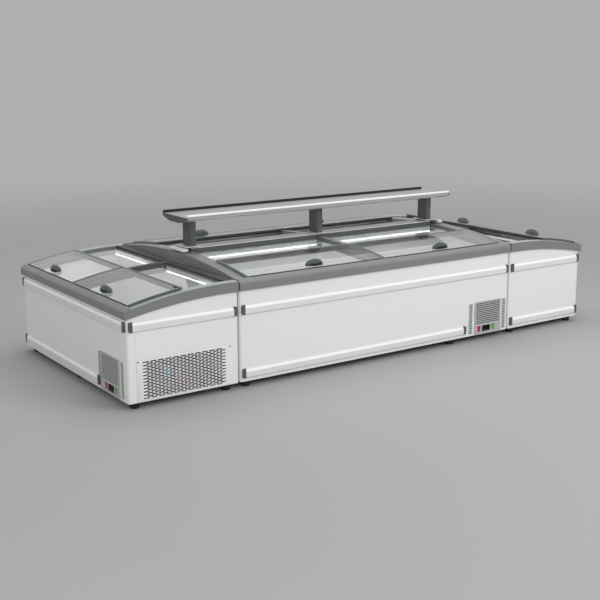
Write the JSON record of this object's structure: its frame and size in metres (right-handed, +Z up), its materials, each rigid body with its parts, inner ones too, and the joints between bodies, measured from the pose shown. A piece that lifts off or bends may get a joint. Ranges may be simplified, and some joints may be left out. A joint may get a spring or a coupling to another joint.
{
  "type": "island chest freezer",
  "caption": "Island chest freezer with a double-sided centre cabinet, end cabinets, arched tops with sliding curved glass lids, bumper rails and a shelf on posts over the ridge.",
  "frame": {"origin": "on the floor under the middle of the whole row, half way along it and half way through it", "axes": "+X along the row towards the right end cabinet, +Y from the front to the rear, +Z up"},
  "size_m": [4.172, 1.808, 1.091],
  "materials": {
    "white_wall": "satin",
    "white_bumper": "satin",
    "white_sheet": "satin",
    "grey_frame": "satin",
    "lid_glass": "polished",
    "handle_charcoal": "satin",
    "black_steel": "satin",
    "panel_grey": "matte",
    "switch_red": "gloss",
    "switch_green": "gloss",
    "machinery": "satin",
    "fan_metal": "satin",
    "shelf_grey": "satin",
    "post_grey": "satin"
  },
  "bodies": {
    "island": {"left_cabinet": "white_wall", "left_base": "black_steel", "left_top_frame": "grey_frame", "left_condensing_unit": "machinery", "left_control_panel": "panel_grey", "centre_cabinet": "white_wall", "centre_base": "black_steel", "centre_top_frame": "grey_frame", "centre_condensing_unit": "machinery", "centre_control_panel": "panel_grey", "right_cabinet": "white_wall", "right_base": "black_steel", "right_top_frame": "grey_frame", "right_condensing_unit": "machinery", "right_control_panel": "panel_grey", "left_front_pane": "lid_glass", "left_rear_pane": "lid_glass", "right_front_pane": "lid_glass", "right_rear_pane": "lid_glass", "centre_front_left_pane": "lid_glass", "centre_front_right_pane": "lid_glass", "centre_rear_left_pane": "lid_glass", "centre_rear_right_pane": "lid_glass", "left_bumper_outer_upper": "white_bumper", "left_bumper_outer_lower": "white_bumper", "left_bumper_bay_end_upper": "white_bumper", "centre_bumper_front_upper": "white_bumper", "centre_bumper_front_lower": "white_bumper", "right_bumper_plain_end_upper": "white_bumper", "right_bumper_plain_end_lower": "white_bumper", "left_grille_panel": "white_sheet", "shelf": "shelf_grey", "shelf_post_left": "post_grey", "shelf_post_middle": "post_grey", "shelf_post_right": "post_grey"},
    "left_front_lid": {"left_front_lid": "lid_glass", "left_front_handle": "handle_charcoal"},
    "left_rear_lid": {"left_rear_lid": "lid_glass", "left_rear_handle": "handle_charcoal"},
    "right_front_lid": {"right_front_lid": "lid_glass", "right_front_handle": "handle_charcoal"},
    "right_rear_lid": {"right_rear_lid": "lid_glass", "right_rear_handle": "handle_charcoal"},
    "centre_front_left_lid": {"centre_front_left_lid": "lid_glass", "centre_front_left_handle": "handle_charcoal"},
    "centre_front_right_lid": {"centre_front_right_lid": "lid_glass", "centre_front_right_handle": "handle_charcoal"},
    "centre_rear_left_lid": {"centre_rear_left_lid": "lid_glass", "centre_rear_left_handle": "handle_charcoal"},
    "centre_rear_right_lid": {"centre_rear_right_lid": "lid_glass", "centre_rear_right_handle": "handle_charcoal"},
    "left_fan": {"left_fan": "fan_metal"},
    "centre_fan": {"centre_fan": "fan_metal"},
    "right_fan": {"right_fan": "fan_metal"},
    "left_red_switch": {"left_red_switch": "switch_red"},
    "left_green_switch": {"left_green_switch": "switch_green"},
    "centre_red_switch": {"centre_red_switch": "switch_red"},
    "centre_green_switch": {"centre_green_switch": "switch_green"},
    "right_red_switch": {"right_red_switch": "switch_red"},
    "right_green_switch": {"right_green_switch": "switch_green"}
  },
  "joints": [
    {"name": "left_front_lid_slide", "type": "hinge", "parent": "island", "child": "left_front_lid", "pos_m": [-1.332, -0.4325, -2.307], "axis": [0, 1, 0], "range_deg": [0, 6.13]},
    {"name": "left_rear_lid_slide", "type": "hinge", "parent": "island", "child": "left_rear_lid", "pos_m": [-1.332, 0.4325, -2.307], "axis": [0, 1, 0], "range_deg": [0, 6.13]},
    {"name": "right_front_lid_slide", "type": "hinge", "parent": "island", "child": "right_front_lid", "pos_m": [1.332, -0.4325, -2.307], "axis": [0, -1, 0], "range_deg": [0, 6.13]},
    {"name": "right_rear_lid_slide", "type": "hinge", "parent": "island", "child": "right_rear_lid", "pos_m": [1.332, 0.4325, -2.307], "axis": [0, -1, 0], "range_deg": [0, 6.13]},
    {"name": "centre_front_left_lid_slide", "type": "hinge", "parent": "island", "child": "centre_front_left_lid", "pos_m": [-0.5875, 0, -4.51], "axis": [-1, 0, 0], "range_deg": [0, 4.2]},
    {"name": "centre_front_right_lid_slide", "type": "hinge", "parent": "island", "child": "centre_front_right_lid", "pos_m": [0.5875, 0, -4.51], "axis": [-1, 0, 0], "range_deg": [0, 4.2]},
    {"name": "centre_rear_left_lid_slide", "type": "hinge", "parent": "island", "child": "centre_rear_left_lid", "pos_m": [-0.5875, 0, -4.51], "axis": [1, 0, 0], "range_deg": [0, 4.2]},
    {"name": "centre_rear_right_lid_slide", "type": "hinge", "parent": "island", "child": "centre_rear_right_lid", "pos_m": [0.5875, 0, -4.51], "axis": [1, 0, 0], "range_deg": [0, 4.2]},
    {"name": "left_red_switch_rock", "type": "hinge", "parent": "island", "child": "left_red_switch", "pos_m": [-2.075, -0.569, 0.092], "axis": [0, 1, 0], "range_deg": [0, 16]},
    {"name": "left_green_switch_rock", "type": "hinge", "parent": "island", "child": "left_green_switch", "pos_m": [-2.075, -0.721, 0.092], "axis": [0, 1, 0], "range_deg": [0, 16]},
    {"name": "centre_red_switch_rock", "type": "hinge", "parent": "island", "child": "centre_red_switch", "pos_m": [0.937, -0.893, 0.092], "axis": [-1, 0, 0], "range_deg": [0, 16]},
    {"name": "centre_green_switch_rock", "type": "hinge", "parent": "island", "child": "centre_green_switch", "pos_m": [1.089, -0.893, 0.092], "axis": [-1, 0, 0], "range_deg": [0, 16]},
    {"name": "right_red_switch_rock", "type": "hinge", "parent": "island", "child": "right_red_switch", "pos_m": [2.075, 0.569, 0.092], "axis": [0, -1, 0], "range_deg": [0, 16]},
    {"name": "right_green_switch_rock", "type": "hinge", "parent": "island", "child": "right_green_switch", "pos_m": [2.075, 0.721, 0.092], "axis": [0, -1, 0], "range_deg": [0, 16]},
    {"name": "left_fan_spin", "type": "hinge", "parent": "island", "child": "left_fan", "pos_m": [-1.747, -0.755, 0.165], "axis": [0, 1, 0], "continuous": true},
    {"name": "centre_fan_spin", "type": "hinge", "parent": "island", "child": "centre_fan", "pos_m": [0.9325, -0.755, 0.165], "axis": [0, 1, 0], "continuous": true},
    {"name": "right_fan_spin", "type": "hinge", "parent": "island", "child": "right_fan", "pos_m": [1.747, 0.755, 0.165], "axis": [0, 1, 0], "continuous": true}
  ]
}
